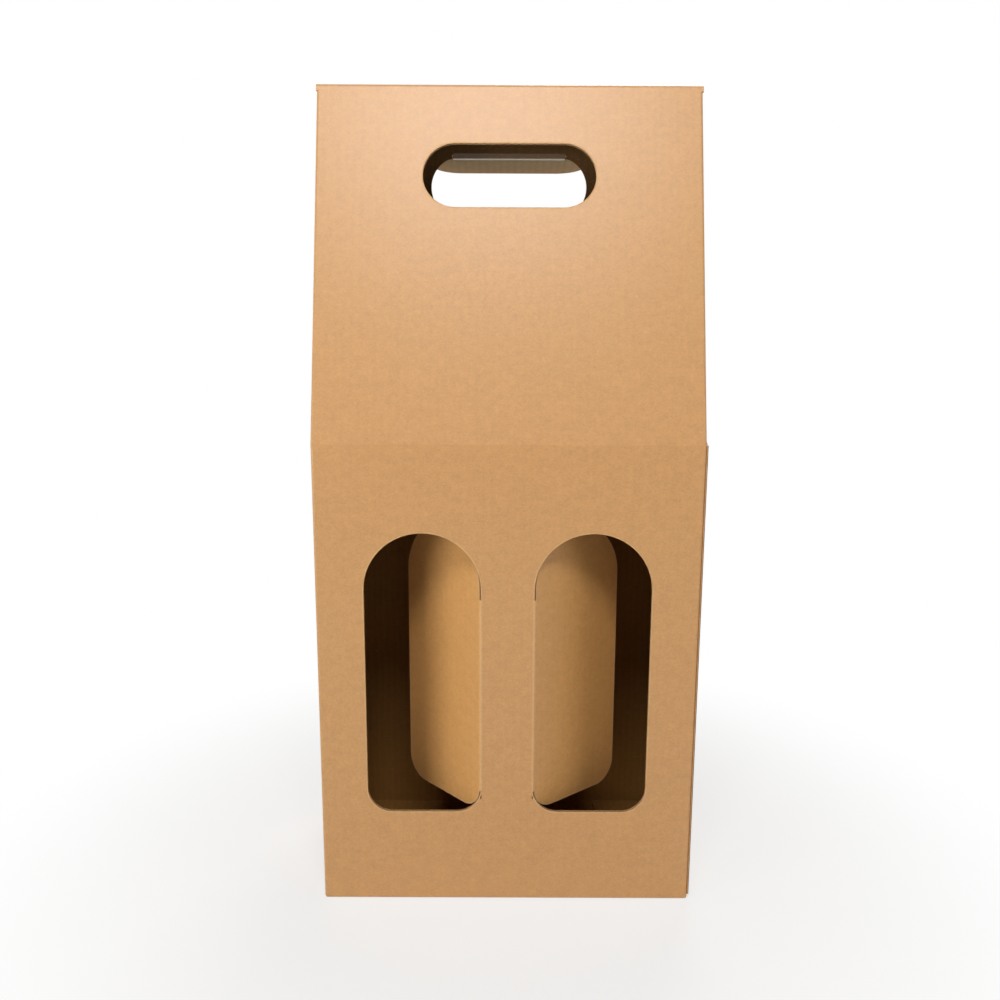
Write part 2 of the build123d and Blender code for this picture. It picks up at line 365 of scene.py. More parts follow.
def board_frame(place, across, up, out):
    """Matrix of a piece of board at place, whose axes are across it, up it and out of it."""
    matrix = Matrix((across, up, out)).transposed().to_4x4()
    matrix.translation = place
    return matrix


def slope_frame(side, drop, inset):
    """Board frame on a leaning wall: X across, Y up the slope, Z out, at the board's middle."""
    sizes = settings("carrier_sizes")
    tilt = lean()
    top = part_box("carrier")[1].z
    out = Vector((0, side * math.cos(tilt), math.sin(tilt)))
    up = Vector((0, -side * math.sin(tilt), math.cos(tilt)))
    place = Vector((front_middle(), side * sizes.crest_width / 2, top)) - up * drop - out * inset
    return board_frame(place, up.cross(out), up, out)


def window_frame(side_name, opened):
    """Board frame of a window flap: X from crease to free edge, Y up, Z to the outer liner."""
    side = SIDES[side_name]
    place = Vector(JOINTS[side_name + "_window_hinge"]["pos_m"])
    place.z = 0
    turn_in = Matrix.Rotation(side * opened, 4, "Z")
    across = X * side
    across.rotate(turn_in)
    out = -Y
    out.rotate(turn_in)
    return board_frame(place, across, Z, out)


def handle_flap_frame(opened):
    """X across, Y from the crease to the free edge, Z to the flap's outer liner."""
    place = Vector(JOINTS["handle_flap_hinge"]["pos_m"])
    tilt = lean()
    down = Vector((0, math.sin(tilt), -math.cos(tilt)))
    out = Vector((0, math.cos(tilt), math.sin(tilt)))
    turn_out = Matrix.Rotation(opened, 4, "X")
    down.rotate(turn_out)
    out.rotate(turn_out)
    return board_frame(place, down.cross(out), down, out)


# Materials


def add_node(tree, kind, inputs=None, **options):
    """Adds a node, sets its options, and fills or links its sockets. Returns its outputs.

    A Mix node of colours has its share at input 0, its colours at 6 and 7, and gives output 2.
    """
    node = tree.nodes.new(kind)
    for key, value in options.items():
        setattr(node, key, value)
    for key, value in (inputs or {}).items():
        if isinstance(value, bpy.types.NodeSocket):
            tree.links.new(value, node.inputs[key])
        else:
            node.inputs[key].default_value = value
    return node.outputs


def new_material(name):
    """An empty material and its node tree."""
    material = bpy.data.materials.new(name)
    material.use_nodes = True
    material.node_tree.nodes.clear()
    return material, material.node_tree


def finish_surface(tree, colour, roughness, specular, height, relief):
    """Ends a paper surface, whose height is turned into a bump of that relief in metres."""
    bump = add_node(
        tree, "ShaderNodeBump", {"Strength": 1.0, "Distance": relief, "Height": height}
    )
    surface = {
        "Base Color": colour,
        "Roughness": roughness,
        "Specular IOR Level": specular,
        "Normal": bump[0],
    }
    shader = add_node(tree, "ShaderNodeBsdfPrincipled", surface)
    add_node(tree, "ShaderNodeOutputMaterial", {"Surface": shader[0]})


def kraft_pattern(tree, place, across):
    """Fibre clouds, single fibres and washboard lines of a liner sheet.

    Returns the light and dark of the sheet round 0.5, the bared fibres, the flutes' wave and the
    grain.
    """
    sheet = add_node(tree, "ShaderNodeMapping", {"Vector": place, "Scale": SHEET_STRETCH})[0]
    layers = {}
    shade = 0.0
    for name, (width, detail, roughness, weight) in MOTTLING.items():
        noise = {"Vector": sheet, "Scale": 1 / width, "Detail": detail, "Roughness": roughness}
        layers[name] = add_node(tree, "ShaderNodeTexNoise", noise)[0]
        terms = {0: layers[name], 1: weight, 2: shade}
        shade = add_node(tree, "ShaderNodeMath", terms, operation="MULTIPLY_ADD")[0]
    drawn = add_node(tree, "ShaderNodeMapping", {"Vector": place, "Scale": FIBRE_STRETCH})[0]
    noise = {"Vector": drawn, "Scale": 1 / FIBRE, "Detail": 1.0, "Distortion": 0.6}
    fibres = add_node(tree, "ShaderNodeTexNoise", noise)[0]
    bared = add_node(
        tree,
        "ShaderNodeMapRange",
        {"Value": fibres, "From Min": 0.64, "From Max": 0.76},
        interpolation_type="SMOOTHSTEP",
    )[0]
    terms = {0: across, 1: TURN / settings("carrier_sizes").flute_pitch}
    angle = add_node(tree, "ShaderNodeMath", terms, operation="MULTIPLY")[0]
    wave = add_node(tree, "ShaderNodeMath", {0: angle}, operation="SINE")[0]
    return shade, bared, wave, layers["grain"]


def liner_surface(tree, place, across, outside, specular, outer, inner, wear_and_highlight=0.0):
    """Kraft liner: its outside is pressed smooth, a clean warm brown with a faint gloss, and its
    inside is matt, greyer and shows its flutes."""
    shade, bared, wave, grain = kraft_pattern(tree, place, across)
    plain = add_node(tree, "ShaderNodeMix", {0: outside, 6: inner, 7: outer}, data_type="RGBA")[2]
    lightness = add_node(
        tree,
        "ShaderNodeMapRange",
        {"Value": shade, "From Min": 0.3, "From Max": 0.7, "To Min": 0.82, "To Max": 1.18},
    )[0]
    flute_share = add_node(
        tree, "ShaderNodeMapRange", {"Value": outside, "To Min": 0.03, "To Max": 0.006}
    )[0]
    terms = {0: wave, 1: flute_share, 2: lightness}
    lightness = add_node(tree, "ShaderNodeMath", terms, operation="MULTIPLY_ADD")[0]
    grey = add_node(tree, "ShaderNodeCombineColor", {0: lightness, 1: lightness, 2: lightness})[0]
    toned = add_node(
        tree,
        "ShaderNodeMix",
        {0: 1.0, 6: plain, 7: grey},
        data_type="RGBA",
        blend_type="MULTIPLY",
    )[2]
    share = add_node(tree, "ShaderNodeMath", {0: bared, 1: FIBRE_SHARE}, operation="MULTIPLY")[0]
    # At a crease the pale colour stands for bared fibres and a painted highlight
    share = add_node(tree, "ShaderNodeMath", {0: share, 1: wear_and_highlight}, operation="MAXIMUM")[0]
    pale = linear(settings("carrier_colours").wear_and_highlight)
    terms = {0: share, 6: toned, 7: pale}
    colour = add_node(tree, "ShaderNodeMix", terms, data_type="RGBA")[2]
    roughness = add_node(
        tree,
        "ShaderNodeMapRange",
        {"Value": grain, "From Min": 0.3, "From Max": 0.7, "To Min": 0.73, "To Max": 0.81},
    )[0]
    terms = {0: outside, 1: -OUTSIDE_SMOOTHER, 2: roughness}
    roughness = add_node(tree, "ShaderNodeMath", terms, operation="MULTIPLY_ADD")[0]
    terms = {0: flute_share, 1: FLUTE_RELIEF}
    flute_height = add_node(tree, "ShaderNodeMath", terms, operation="MULTIPLY")[0]
    terms = {0: wave, 1: flute_height, 2: shade}
    height = add_node(tree, "ShaderNodeMath", terms, operation="MULTIPLY_ADD")[0]
    finish_surface(tree, colour, roughness, specular, height, LINER_RELIEF)


def two_sided_specular(tree, outside):
    """The liner's outside shines a little, and its inside hardly at all."""
    terms = {0: outside, 1: OUTSIDE_SPECULAR - INSIDE_SPECULAR, 2: INSIDE_SPECULAR}
    return add_node(tree, "ShaderNodeMath", terms, operation="MULTIPLY_ADD")[0]


def wall_kraft():
    """Kraft liner on the folded walls. The outside of the sheet is on faces that look away from
    the middle of the box, and on both faces of the recesses where the sides fold in."""
    material, tree = new_material("kraft_liner_walls")
    sizes = settings("carrier_sizes")
    colours = settings("carrier_colours")
    low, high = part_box("carrier")
    coordinates = add_node(tree, "ShaderNodeTexCoord")
    place = coordinates["Object"]
    normal = coordinates["Normal"]
    middle = ((low.x + high.x) / 2, 0.0, high.z / 2)
    terms = {0: place, 1: middle}
    from_middle = add_node(tree, "ShaderNodeVectorMath", terms, operation="SUBTRACT")[0]
    terms = {0: normal, 1: from_middle}
    facing = add_node(tree, "ShaderNodeVectorMath", terms, operation="DOT_PRODUCT")["Value"]
    away = add_node(tree, "ShaderNodeMath", {0: facing, 1: 0.0}, operation="GREATER_THAN")[0]
    x, y, z = add_node(tree, "ShaderNodeSeparateXYZ", {0: place})
    normal_x = add_node(tree, "ShaderNodeSeparateXYZ", {0: normal})[0]
    rise = add_node(tree, "ShaderNodeMath", {0: z, 1: sizes.body_height}, operation="SUBTRACT")[0]
    terms = {0: rise, 1: -sizes.fold_in, 2: (high.x - low.x) / 2 - FOLD_MARGIN}
    edge = add_node(tree, "ShaderNodeMath", terms, operation="MULTIPLY_ADD")[0]
    off_middle = add_node(tree, "ShaderNodeMath", {0: x}, operation="ABSOLUTE")[0]
    beyond = add_node(tree, "ShaderNodeMath", {0: off_middle, 1: edge}, operation="GREATER_THAN")[0]
    terms = {0: rise, 1: WAIST_MARGIN}
    above = add_node(tree, "ShaderNodeMath", terms, operation="GREATER_THAN")[0]
    recess = add_node(tree, "ShaderNodeMath", {0: beyond, 1: above}, operation="MULTIPLY")[0]
    outside = add_node(tree, "ShaderNodeMath", {0: away, 1: recess}, operation="MAXIMUM")[0]
    leaning = add_node(tree, "ShaderNodeMath", {0: normal_x}, operation="ABSOLUTE")[0]
    terms = {0: leaning, 1: SIDEWAYS}
    sideways = add_node(tree, "ShaderNodeMath", terms, operation="GREATER_THAN")[0]
    across = add_node(tree, "ShaderNodeMix", {0: sideways, 2: x, 3: y}, data_type="FLOAT")[0]
    # Painted shade: high in the peak the inside takes a darker liner colour for the shade there
    in_peak_shade = add_node(
        tree,
        "ShaderNodeMapRange",
        {"Value": rise, "From Min": SHADE_FROM, "From Max": SHADE_TO},
        interpolation_type="SMOOTHSTEP",
    )[0]
    terms = {0: in_peak_shade, 6: linear(colours.inner), 7: linear(colours.peak)}
    inner = add_node(tree, "ShaderNodeMix", terms, data_type="RGBA")[2]
    specular = two_sided_specular(tree, outside)
    liner_surface(tree, place, across, outside, specular, linear(colours.outer), inner)
    return material


def flap_kraft(name, matrix, inner):
    """Kraft liner on a flap, whose outer side looks along its own board frame's Z."""
    material, tree = new_material("kraft_liner_" + name)
    coordinates = add_node(tree, "ShaderNodeTexCoord")
    place = coordinates["Object"]
    across_axis = Vector(matrix.col[0][:3])
    out_axis = Vector(matrix.col[2][:3])
    terms = {0: coordinates["Normal"], 1: out_axis}
    facing = add_node(tree, "ShaderNodeVectorMath", terms, operation="DOT_PRODUCT")["Value"]
    outside = add_node(tree, "ShaderNodeMath", {0: facing, 1: 0.0}, operation="GREATER_THAN")[0]
    terms = {0: place, 1: across_axis}
    across = add_node(tree, "ShaderNodeVectorMath", terms, operation="DOT_PRODUCT")["Value"]
    # Painted light: a lighter, warmer copy of the walls' kraft colour
    outer = linear(settings("carrier_colours").flap)
    specular = two_sided_specular(tree, outside)
    liner_surface(tree, place, across, outside, specular, outer, linear(inner))
    return material


def creased_kraft(name, matrix, wall, flap, paleness):
    """A liner that is pale where it bends sharply round a crease: bared fibres, and a painted
    highlight where the crease is lit.

    The crease lies along the matrix's Z, and the wall beside it looks along its -Y.
    """
    material, tree = new_material("creased_liner_" + name)
    coordinates = add_node(tree, "ShaderNodeTexCoord")
    place = coordinates["Object"]
    terms = {0: place, 1: matrix.translation}
    from_crease = add_node(tree, "ShaderNodeVectorMath", terms, operation="SUBTRACT")[0]
    terms = {0: from_crease, 1: Vector(matrix.col[2][:3])}
    crossed = add_node(tree, "ShaderNodeVectorMath", terms, operation="CROSS_PRODUCT")[0]
    distance = add_node(tree, "ShaderNodeVectorMath", {0: crossed}, operation="LENGTH")["Value"]
    noise = {"Vector": place, "Scale": 1 / FRAY, "Detail": 3.0}
    frayed = add_node(tree, "ShaderNodeTexNoise", noise)[0]
    terms = {0: frayed, 1: WEAR_RAGGED, 2: distance}
    distance = add_node(tree, "ShaderNodeMath", terms, operation="MULTIPLY_ADD")[0]
    fading = {
        "Value": distance,
        "From Min": WEAR_FROM,
        "From Max": WEAR_TO,
        "To Min": paleness,
        "To Max": 0.0,
    }
    wear_and_highlight = add_node(tree, "ShaderNodeMapRange", fading, interpolation_type="SMOOTHSTEP")[0]
    terms = {0: coordinates["Normal"], 1: -Vector(matrix.col[1][:3])}
    facing = add_node(tree, "ShaderNodeVectorMath", terms, operation="DOT_PRODUCT")["Value"]
    on_wall = add_node(tree, "ShaderNodeMath", {0: facing, 1: ON_WALL}, operation="GREATER_THAN")[0]
    terms = {0: on_wall, 6: linear(flap), 7: linear(wall)}
    sheet = add_node(tree, "ShaderNodeMix", terms, data_type="RGBA")[2]
    across = add_node(tree, "ShaderNodeSeparateXYZ", {0: place})[0]
    liner_surface(tree, place, across, 1.0, OUTSIDE_SPECULAR, sheet, sheet, wear_and_highlight)
    return material


def raw_paper(name, hex_colour, light):
    """Cut or torn paper: dull, fuzzy and mottled at the scale of its fibres."""
    material, tree = new_material(name)
    place = add_node(tree, "ShaderNodeTexCoord")["Object"]
    noise = {"Vector": place, "Scale": 1 / FUZZ, "Detail": 3.0, "Roughness": 0.7}
    fuzz = add_node(tree, "ShaderNodeTexNoise", noise)[0]
    noise = {"Vector": place, "Scale": 1 / BLOTCH, "Detail": 2.0}
    blotches = add_node(tree, "ShaderNodeTexNoise", noise)[0]
    tone = add_node(tree, "ShaderNodeMath", {0: blotches, 1: 0.4}, operation="MULTIPLY")[0]
    tone = add_node(tree, "ShaderNodeMath", {0: fuzz, 1: 0.6, 2: tone}, operation="MULTIPLY_ADD")[0]
    share = add_node(
        tree,
        "ShaderNodeMapRange",
        {"Value": tone, "From Min": 0.35, "From Max": 0.65, "To Min": 0.0, "To Max": light},
    )[0]
    pale = linear(settings("carrier_colours").wear_and_highlight)
    terms = {0: share, 6: linear(hex_colour), 7: pale}
    colour = add_node(tree, "ShaderNodeMix", terms, data_type="RGBA")[2]
    finish_surface(tree, colour, 0.85, 0.25, fuzz, RAW_RELIEF)
    return material


def raw_edge_materials():
    """The papers of a cut edge in the order of their slots: raw edges, the painted shade of the
    hollows between, and the rim, crushed liner with a painted highlight.
    """
    colours = settings("carrier_colours")
    papers = (
        ("raw_paper_edge", colours.fluting, 0.5),
        ("flute_hollow", colours.hollow, 0.1),
        # The rim's pale share stands for liner crushed by the die and a painted highlight along the
        # cut
        ("crushed_liner_rim", colours.outer, 0.75),
    )
    return [bpy.data.materials.get(paper[0]) or raw_paper(*paper) for paper in papers]


# Mesh helpers


def run(bm, vert, step):
    """A straight run from vert. Returns its far end."""
    made = bmesh.ops.extrude_vert_indiv(bm, verts=[vert])
    bmesh.ops.translate(bm, verts=made["verts"], vec=step)
    return made["verts"][0]


def turn(bm, vert, centre, angle):
    """An arc from vert round centre in the XY plane. Returns its far end."""
    radius = (vert.co - centre).length
    steps = math.ceil(abs(angle) * max(RADIAN_STEPS, radius / ARC_STEP))
    made = bmesh.ops.spin(
        bm, geom=[vert], cent=centre, axis=Z, angle=angle, steps=steps, use_duplicate=False
    )
    return made["geom_last"][0]


def slot_outline(bm, width, height, joined):
    """A slot with round ends, clockwise from the left end of its upper side.

    With joined false, the upper side is left out, and the line starts at its right end.
    """
    radius = height / 2
    straight = width / 2 - radius
    vert = bm.verts.new((-straight if joined else straight, radius, 0))
    if joined:
        vert = run(bm, vert, (2 * straight, 0, 0))
    vert = turn(bm, vert, Vector((straight, 0, 0)), -math.pi)
    vert = run(bm, vert, (-2 * straight, 0, 0))
    turn(bm, vert, Vector((-straight, 0, 0)), -math.pi)


def window_outline(bm, margin):
    """The cut round a window, clockwise from the crease's upper end to its lower end."""
    sizes = settings("carrier_sizes")
    width = sizes.window_width - 2 * margin
    sill = sizes.window_sill + margin
    spring = sizes.window_top - sizes.window_width / 2
    corner = sizes.window_corner - margin
    left = margin
    right = left + width
    vert = bm.verts.new((left, sizes.crease_high, 0))
    vert = run(bm, vert, (0, spring - sizes.crease_high, 0))
    vert = turn(bm, vert, Vector(((left + right) / 2, spring, 0)), -math.pi)
    vert = run(bm, vert, (0, sill + corner - spring, 0))
    vert = turn(bm, vert, Vector((right - corner, sill + corner, 0)), -math.pi / 2)
    vert = run(bm, vert, (-(width - 2 * corner), 0, 0))
    turn(bm, vert, Vector((left + corner, sill + corner, 0)), -math.pi / 2)


def fine_wire(bm, step):
    """Divides the straight runs of an outline into short steps."""
    for edge in list(bm.edges):
        cuts = math.ceil(edge.calc_length() / step) - 1
        if cuts > 0:
            bmesh.ops.subdivide_edges(bm, edges=[edge], cuts=cuts)


def draw_out(bm, length, step):
    """Draws a wire along Z into a sheet of short steps."""
    made = bmesh.ops.extrude_edge_only(bm, edges=bm.edges[:])
    far = [item for item in made["geom"] if isinstance(item, bmesh.types.BMVert)]
    bmesh.ops.translate(bm, verts=far, vec=(0, 0, length))
    upright = [edge for edge in bm.edges if edge.calc_length() > length / 2]
    cuts = math.ceil(length / step) - 1
    bmesh.ops.subdivide_edges(bm, edges=upright, cuts=cuts, use_grid_fill=True)


def thicken(bm, outward, thickness):
    """Gives a sheet a thickness on the side that outward points to."""
    bm.normal_update()
    faces = bm.faces[:]
    if sum(face.normal.dot(outward) * face.calc_area() for face in faces) < 0:
        bmesh.ops.reverse_faces(bm, faces=faces)
        bm.normal_update()
    bmesh.ops.solidify(bm, geom=faces, thickness=-thickness)
    bmesh.ops.recalc_face_normals(bm, faces=bm.faces[:])


def join_into(target, bm):
    """Adds one bmesh to another and frees it."""
    mesh = bpy.data.meshes.new("joined")
    bm.to_mesh(mesh)
    bm.free()
    target.from_mesh(mesh)
    bpy.data.meshes.remove(mesh)


def lay_in_place(bm, matrix):
    """Moves a bmesh by a matrix, which may mirror it, with its faces still looking outwards."""
    bmesh.ops.transform(bm, matrix=matrix, verts=bm.verts)
    if matrix.determinant() < 0:
        bmesh.ops.reverse_faces(bm, faces=bm.faces[:])


def mesh_piece(name, body, bm, materials):
    """Makes a bmesh a piece with these materials. It rides on body, where one is named."""
    mesh = bpy.data.meshes.new(name)
    bm.to_mesh(mesh)
    bm.free()
    piece = bpy.data.objects.new(name, mesh)
    bpy.context.scene.collection.objects.link(piece)
    for material in materials:
        mesh.materials.append(material)
    if body:
        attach(piece, body)
    return piece


def band(target, wire, low, high, proud, ragged, wavy, inward, material):
    """Turns a wire outline into one layer of paper, from low to high through the board.

    proud is how far it stands out of the cut, and ragged how much more it may. wavy bends it as
    the fluting is bent, and inward turns its face to the outline's inside.
    """
    sizes = settings("carrier_sizes")
    bmesh.ops.remove_doubles(wire, verts=wire.verts, dist=MERGE)
    fine_wire(wire, sizes.flute_pitch / FLUTE_STEPS)
    # The fluting is as thick as a liner, so with this swing its crests just touch both liners
    swing = sizes.board / 2 - 1.5 * sizes.liner
    for vert in wire.verts:
        wave = swing * math.sin(TURN * vert.co.x / sizes.flute_pitch)
        vert.co.z = low + (wave if wavy else 0)
    made = bmesh.ops.extrude_edge_only(wire, edges=wire.edges[:])
    upper = [item for item in made["geom"] if isinstance(item, bmesh.types.BMVert)]
    bmesh.ops.translate(wire, verts=upper, vec=(0, 0, high - low))
    wire.normal_update()
    wire.faces.ensure_lookup_table()
    centre = Vector((0, 0, 0))
    for face in wire.faces:
        centre += face.calc_center_median() / len(wire.faces)
    lean_in = sum(face.normal.dot(centre - face.calc_center_median()) for face in wire.faces)
    if (lean_in > 0) != inward:
        bmesh.ops.reverse_faces(wire, faces=wire.faces[:])
        wire.normal_update()
    moves = {}
    for vert in wire.verts:
        normal = Vector((vert.normal.x, vert.normal.y, 0)).normalized()
        moves[vert] = normal * (proud + ragged * random.random())
    base = wire.faces[:]
    copy = bmesh.ops.extrude_face_region(wire, geom=base)
    bmesh.ops.delete(wire, geom=base, context="FACES_ONLY")
    lifted = [item for item in copy["geom"] if isinstance(item, bmesh.types.BMVert)]
    for vert in lifted:
        source = min(
            (other for edge in vert.link_edges for other in edge.verts if other in moves),
            key=lambda other: (other.co - vert.co).length,
        )
        vert.co += moves[source]
    for face in wire.faces:
        face.material_index = material
    join_into(target, wire)


def cut_edge(name, body, matrix, inward, outline, *size):
    """The raw edge of the board along an outline: two liners with the wave of the fluting between,
    a dark sheet of painted shade in the hollows, and a pale rim on the outer liner, crushed by the
    die and with a painted highlight."""
    sizes = settings("carrier_sizes")
    half = sizes.board / 2
    liner = sizes.liner
    layers = (
        (-half + 2 * HAIR, half - 2 * HAIR, 2 * HAIR, 0.0, False, inward, HOLLOW_SHADE),
        (half - liner, half - HAIR, PAPER_PROUD, PAPER_RAGGED, False, inward, PAPER),
        (-half + HAIR, -half + liner, PAPER_PROUD, PAPER_RAGGED, False, inward, PAPER),
        (-liner / 2, liner / 2, PAPER_PROUD, PAPER_RAGGED, True, inward, PAPER),
        (half - 2 * HAIR, half + 2 * HAIR, sizes.rim, RIM_RAGGED, False, not inward, RIM_AND_HIGHLIGHT),
    )
    bm = bmesh.new()
    for layer in layers:
        wire = bmesh.new()
        outline(wire, *size)
        band(bm, wire, *layer)
    lay_in_place(bm, matrix)
    mesh_piece(name, body, bm, raw_edge_materials())


def crease_skin(name, place, shut, inward, opened, length, finish):
    """Liner that bends round a crease, from the wall on to the flap.

    shut points from the crease to the closed flap's free edge, and inward to where it opens.
    finish holds the colours of the wall and the flap, and how pale the bend is: bared fibres,
    and at the lit window creases a painted highlight.
    """
    sizes = settings("carrier_sizes")
    radius = sizes.board / 2 - HAIR
    matrix = board_frame(place, shut, inward, shut.cross(inward))
    lap = sizes.crease_lap
    bm = bmesh.new()
    vert = bm.verts.new((-lap, -radius, 0))
    vert = run(bm, vert, (lap, 0, 0))
    vert = turn(bm, vert, Vector((0, 0, 0)), opened)
    run(bm, vert, (lap * math.cos(opened), lap * math.sin(opened), 0))
    fine_wire(bm, SKIN_STEP)
    draw_out(bm, length, CREASE_STEP)
    thicken(bm, -Y, SKIN)
    lay_in_place(bm, matrix)
    piece = mesh_piece(name, None, bm, [creased_kraft(name, matrix, *finish)])
    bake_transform(piece)


def corner_patches(side_name, body, matrix):
    """Outer liner on the flap's cut-back corners, above and below its crease."""
    sizes = settings("carrier_sizes")
    bm = bmesh.new()
    for height, keep in ((sizes.crease_high, -1), (sizes.crease_low, 1)):
        part = bmesh.new()
        window_outline(part, sizes.kerf)
        bmesh.ops.remove_doubles(part, verts=part.verts, dist=MERGE)
        ends = [vert for vert in part.verts if len(vert.link_edges) == 1]
        part.edges.new(ends)
        bmesh.ops.edgeloop_fill(part, edges=part.edges[:])
        beside = (PATCH_REACH, 0, 0)
        past = (0, height - keep * PATCH_CLEAR, 0)
        for place, direction in ((beside, X), (past, Y * keep)):
            geometry = part.verts[:] + part.edges[:] + part.faces[:]
            bmesh.ops.bisect_plane(
                part, geom=geometry, plane_co=place, plane_no=direction, clear_outer=True
            )
        lift = sizes.board / 2 - PATCH_DEPTH
        bmesh.ops.translate(part, verts=part.verts, vec=(0, 0, lift))
        thicken(part, Z, PATCH_THICKNESS)
        join_into(bm, part)
    lay_in_place(bm, matrix)
    liner = bpy.data.materials["kraft_liner_" + side_name + "_flap"]
    mesh_piece(side_name + "_flap_corners", body, bm, [liner])


# The steps that dress the carrier


class CARRIER_OT_board(bpy.types.Operator):
    """Gives the walls and flaps their kraft liner"""

    bl_idname = "carrier.board"
    bl_label = "Kraft liner"

    def execute(self, context):
        colours = settings("carrier_colours")
        left = window_frame("left", opening_angle("left_window_hinge"))
        right = window_frame("right", opening_angle("right_window_hinge"))
        handle = handle_flap_frame(opening_angle("handle_flap_hinge"))
        finishes = {
            "carrier": wall_kraft(),
            "left_window_flap": flap_kraft("left_flap", left, colours.inner),
            "right_window_flap": flap_kraft("right_flap", right, colours.inner),
            "handle_flap": flap_kraft("handle_flap", handle, colours.palm),
        }
        for node, material in finishes.items():
            piece = frame["nodes"][node]
            piece.data.materials.clear()
            piece.data.materials.append(material)
        return {"FINISHED"}


class CARRIER_OT_window_edges(bpy.types.Operator):
    """Shows the corrugated section round each window and its flap"""

    bl_idname = "carrier.window_edges"
    bl_label = "Window edges"

    def execute(self, context):
        kerf = settings("carrier_sizes").kerf
        for side in SIDES:
            wall = window_frame(side, 0.0)
            flap = window_frame(side, opening_angle(side + "_window_hinge"))
            body = side + "_window_flap"
            cut_edge(side + "_window_cut", "carrier", wall, True, window_outline, 0.0)
            cut_edge(side + "_flap_cut", body, flap, False, window_outline, kerf)
        return {"FINISHED"}


class CARRIER_OT_creases(bpy.types.Operator):
    """Bends the outer liner round each flap's crease and closes the corners past its ends"""

    bl_idname = "carrier.creases"
    bl_label = "Creases and corners"

    def execute(self, context):
        sizes = settings("carrier_sizes")
        colours = settings("carrier_colours")
        length = sizes.crease_high - sizes.crease_low
        # Each window crease is pale with bared fibres and a painted highlight; its flap side has
        # painted light
        finish = (colours.outer, colours.flap, CREASE_WEAR_AND_HIGHLIGHT)
        for side_name, side in SIDES.items():
            joint = side_name + "_window_hinge"
            body = side_name + "_window_flap"
            opened = opening_angle(joint)
            # The skin is drawn upwards on the right and, as its mirror image, downwards on the left
            place = Vector(JOINTS[joint]["pos_m"])
            place.z = sizes.crease_low if side > 0 else sizes.crease_high
            crease_skin(side_name + "_crease", place, X * side, Y, opened, length, finish)
            corner_patches(side_name, body, window_frame(side_name, opened))
        shut = handle_flap_frame(0.0)
        down = Vector(shut.col[1][:3])
        out = Vector(shut.col[2][:3])
        opened = opening_angle("handle_flap_hinge")
        length = sizes.lock_hole_width - sizes.lock_hole_height + HANDLE_CREASE_PAST
        place = shut.translation - X * length / 2
        # The closure's side of the handle crease takes the painted shade of the peak, and no
        # painted highlight
        finish = (colours.peak, colours.palm, SHADED_WEAR)
        crease_skin("handle_crease", place, down, out, opened, length, finish)
        return {"FINISHED"}


class CARRIER_OT_seam_edge(bpy.types.Operator):
    """Shows the crushed raw edge of the side seam at the right of the front, with a strip of
    painted shadow beside the fold
    """

    bl_idname = "carrier.seam_edge"
    bl_label = "Side seam edge"

    def execute(self, context):
        sizes = settings("carrier_sizes")
        colours = settings("carrier_colours")
        low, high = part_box("carrier")
        corner = 2 * front_middle() - low.x
        bm = bmesh.new()
        vert = bm.verts.new((corner, -sizes.seam_front, sizes.seam_foot))
        vert = run(bm, vert, (high.x - sizes.seam_crush - corner, 0, 0))
        run(bm, vert, (sizes.seam_crush, sizes.seam_reach, 0))
        fine_wire(bm, SKIN_STEP)
        draw_out(bm, sizes.body_height - sizes.seam_foot, SEAM_STEP)
        thicken(bm, X - Y, SKIN)
        for face in bm.faces:
            # The strip nearest the fold is painted shadow, the dark of the seam's gap
            in_painted_shadow = face.calc_center_median().x < corner + SEAM_SHADOW_WIDTH
            face.material_index = SEAM_PAINTED_SHADOW if in_painted_shadow else SEAM_PAPER
        materials = [
            raw_paper("seam_raw_edge", colours.seam, 0.08),
            raw_paper("seam_shadow_gap", colours.gap, 0.0),
        ]
        mesh_piece("seam_raw_edge", "carrier", bm, materials)
        return {"FINISHED"}


class CARRIER_OT_hole_edges(bpy.types.Operator):
    """Shows the corrugated section round the hand holes and the flap of the closure"""

    bl_idname = "carrier.hole_edges"
    bl_label = "Hole edges"

    def execute(self, context):
        sizes = settings("carrier_sizes")
        half = sizes.board / 2
        hand = (sizes.hand_hole_width, sizes.hand_hole_height)
        rear = (sizes.back_hole_width, sizes.back_hole_height)
        lock = (sizes.lock_hole_width, sizes.lock_hole_height)
        cut_out = (lock[0] - 2 * sizes.kerf, lock[1] - 2 * sizes.kerf)
        front = slope_frame(-1, sizes.hand_hole_drop, half)
        back = slope_frame(1, sizes.lock_hole_drop, half)
        closure = back.copy()
        crease = Vector(JOINTS["handle_flap_hinge"]["pos_m"])
        closure.translation = crease - Vector(back.col[1][:3]) * lock[1] / 2
        flap = handle_flap_frame(opening_angle("handle_flap_hinge"))
        flap.translation += Vector(flap.col[1][:3]) * lock[1] / 2
        flap = flap @ Matrix.Rotation(math.pi, 4, "Z")
        cut_edge("hand_hole_cut", "carrier", front, True, slot_outline, *hand, True)
        cut_edge("back_hole_cut", "carrier", back, True, slot_outline, *rear, True)
        cut_edge("closure_hole_cut", "carrier", closure, True, slot_outline, *lock, False)
        cut_edge("handle_flap_cut", "handle_flap", flap, False, slot_outline, *cut_out, False)
        return {"FINISHED"}


# The stage


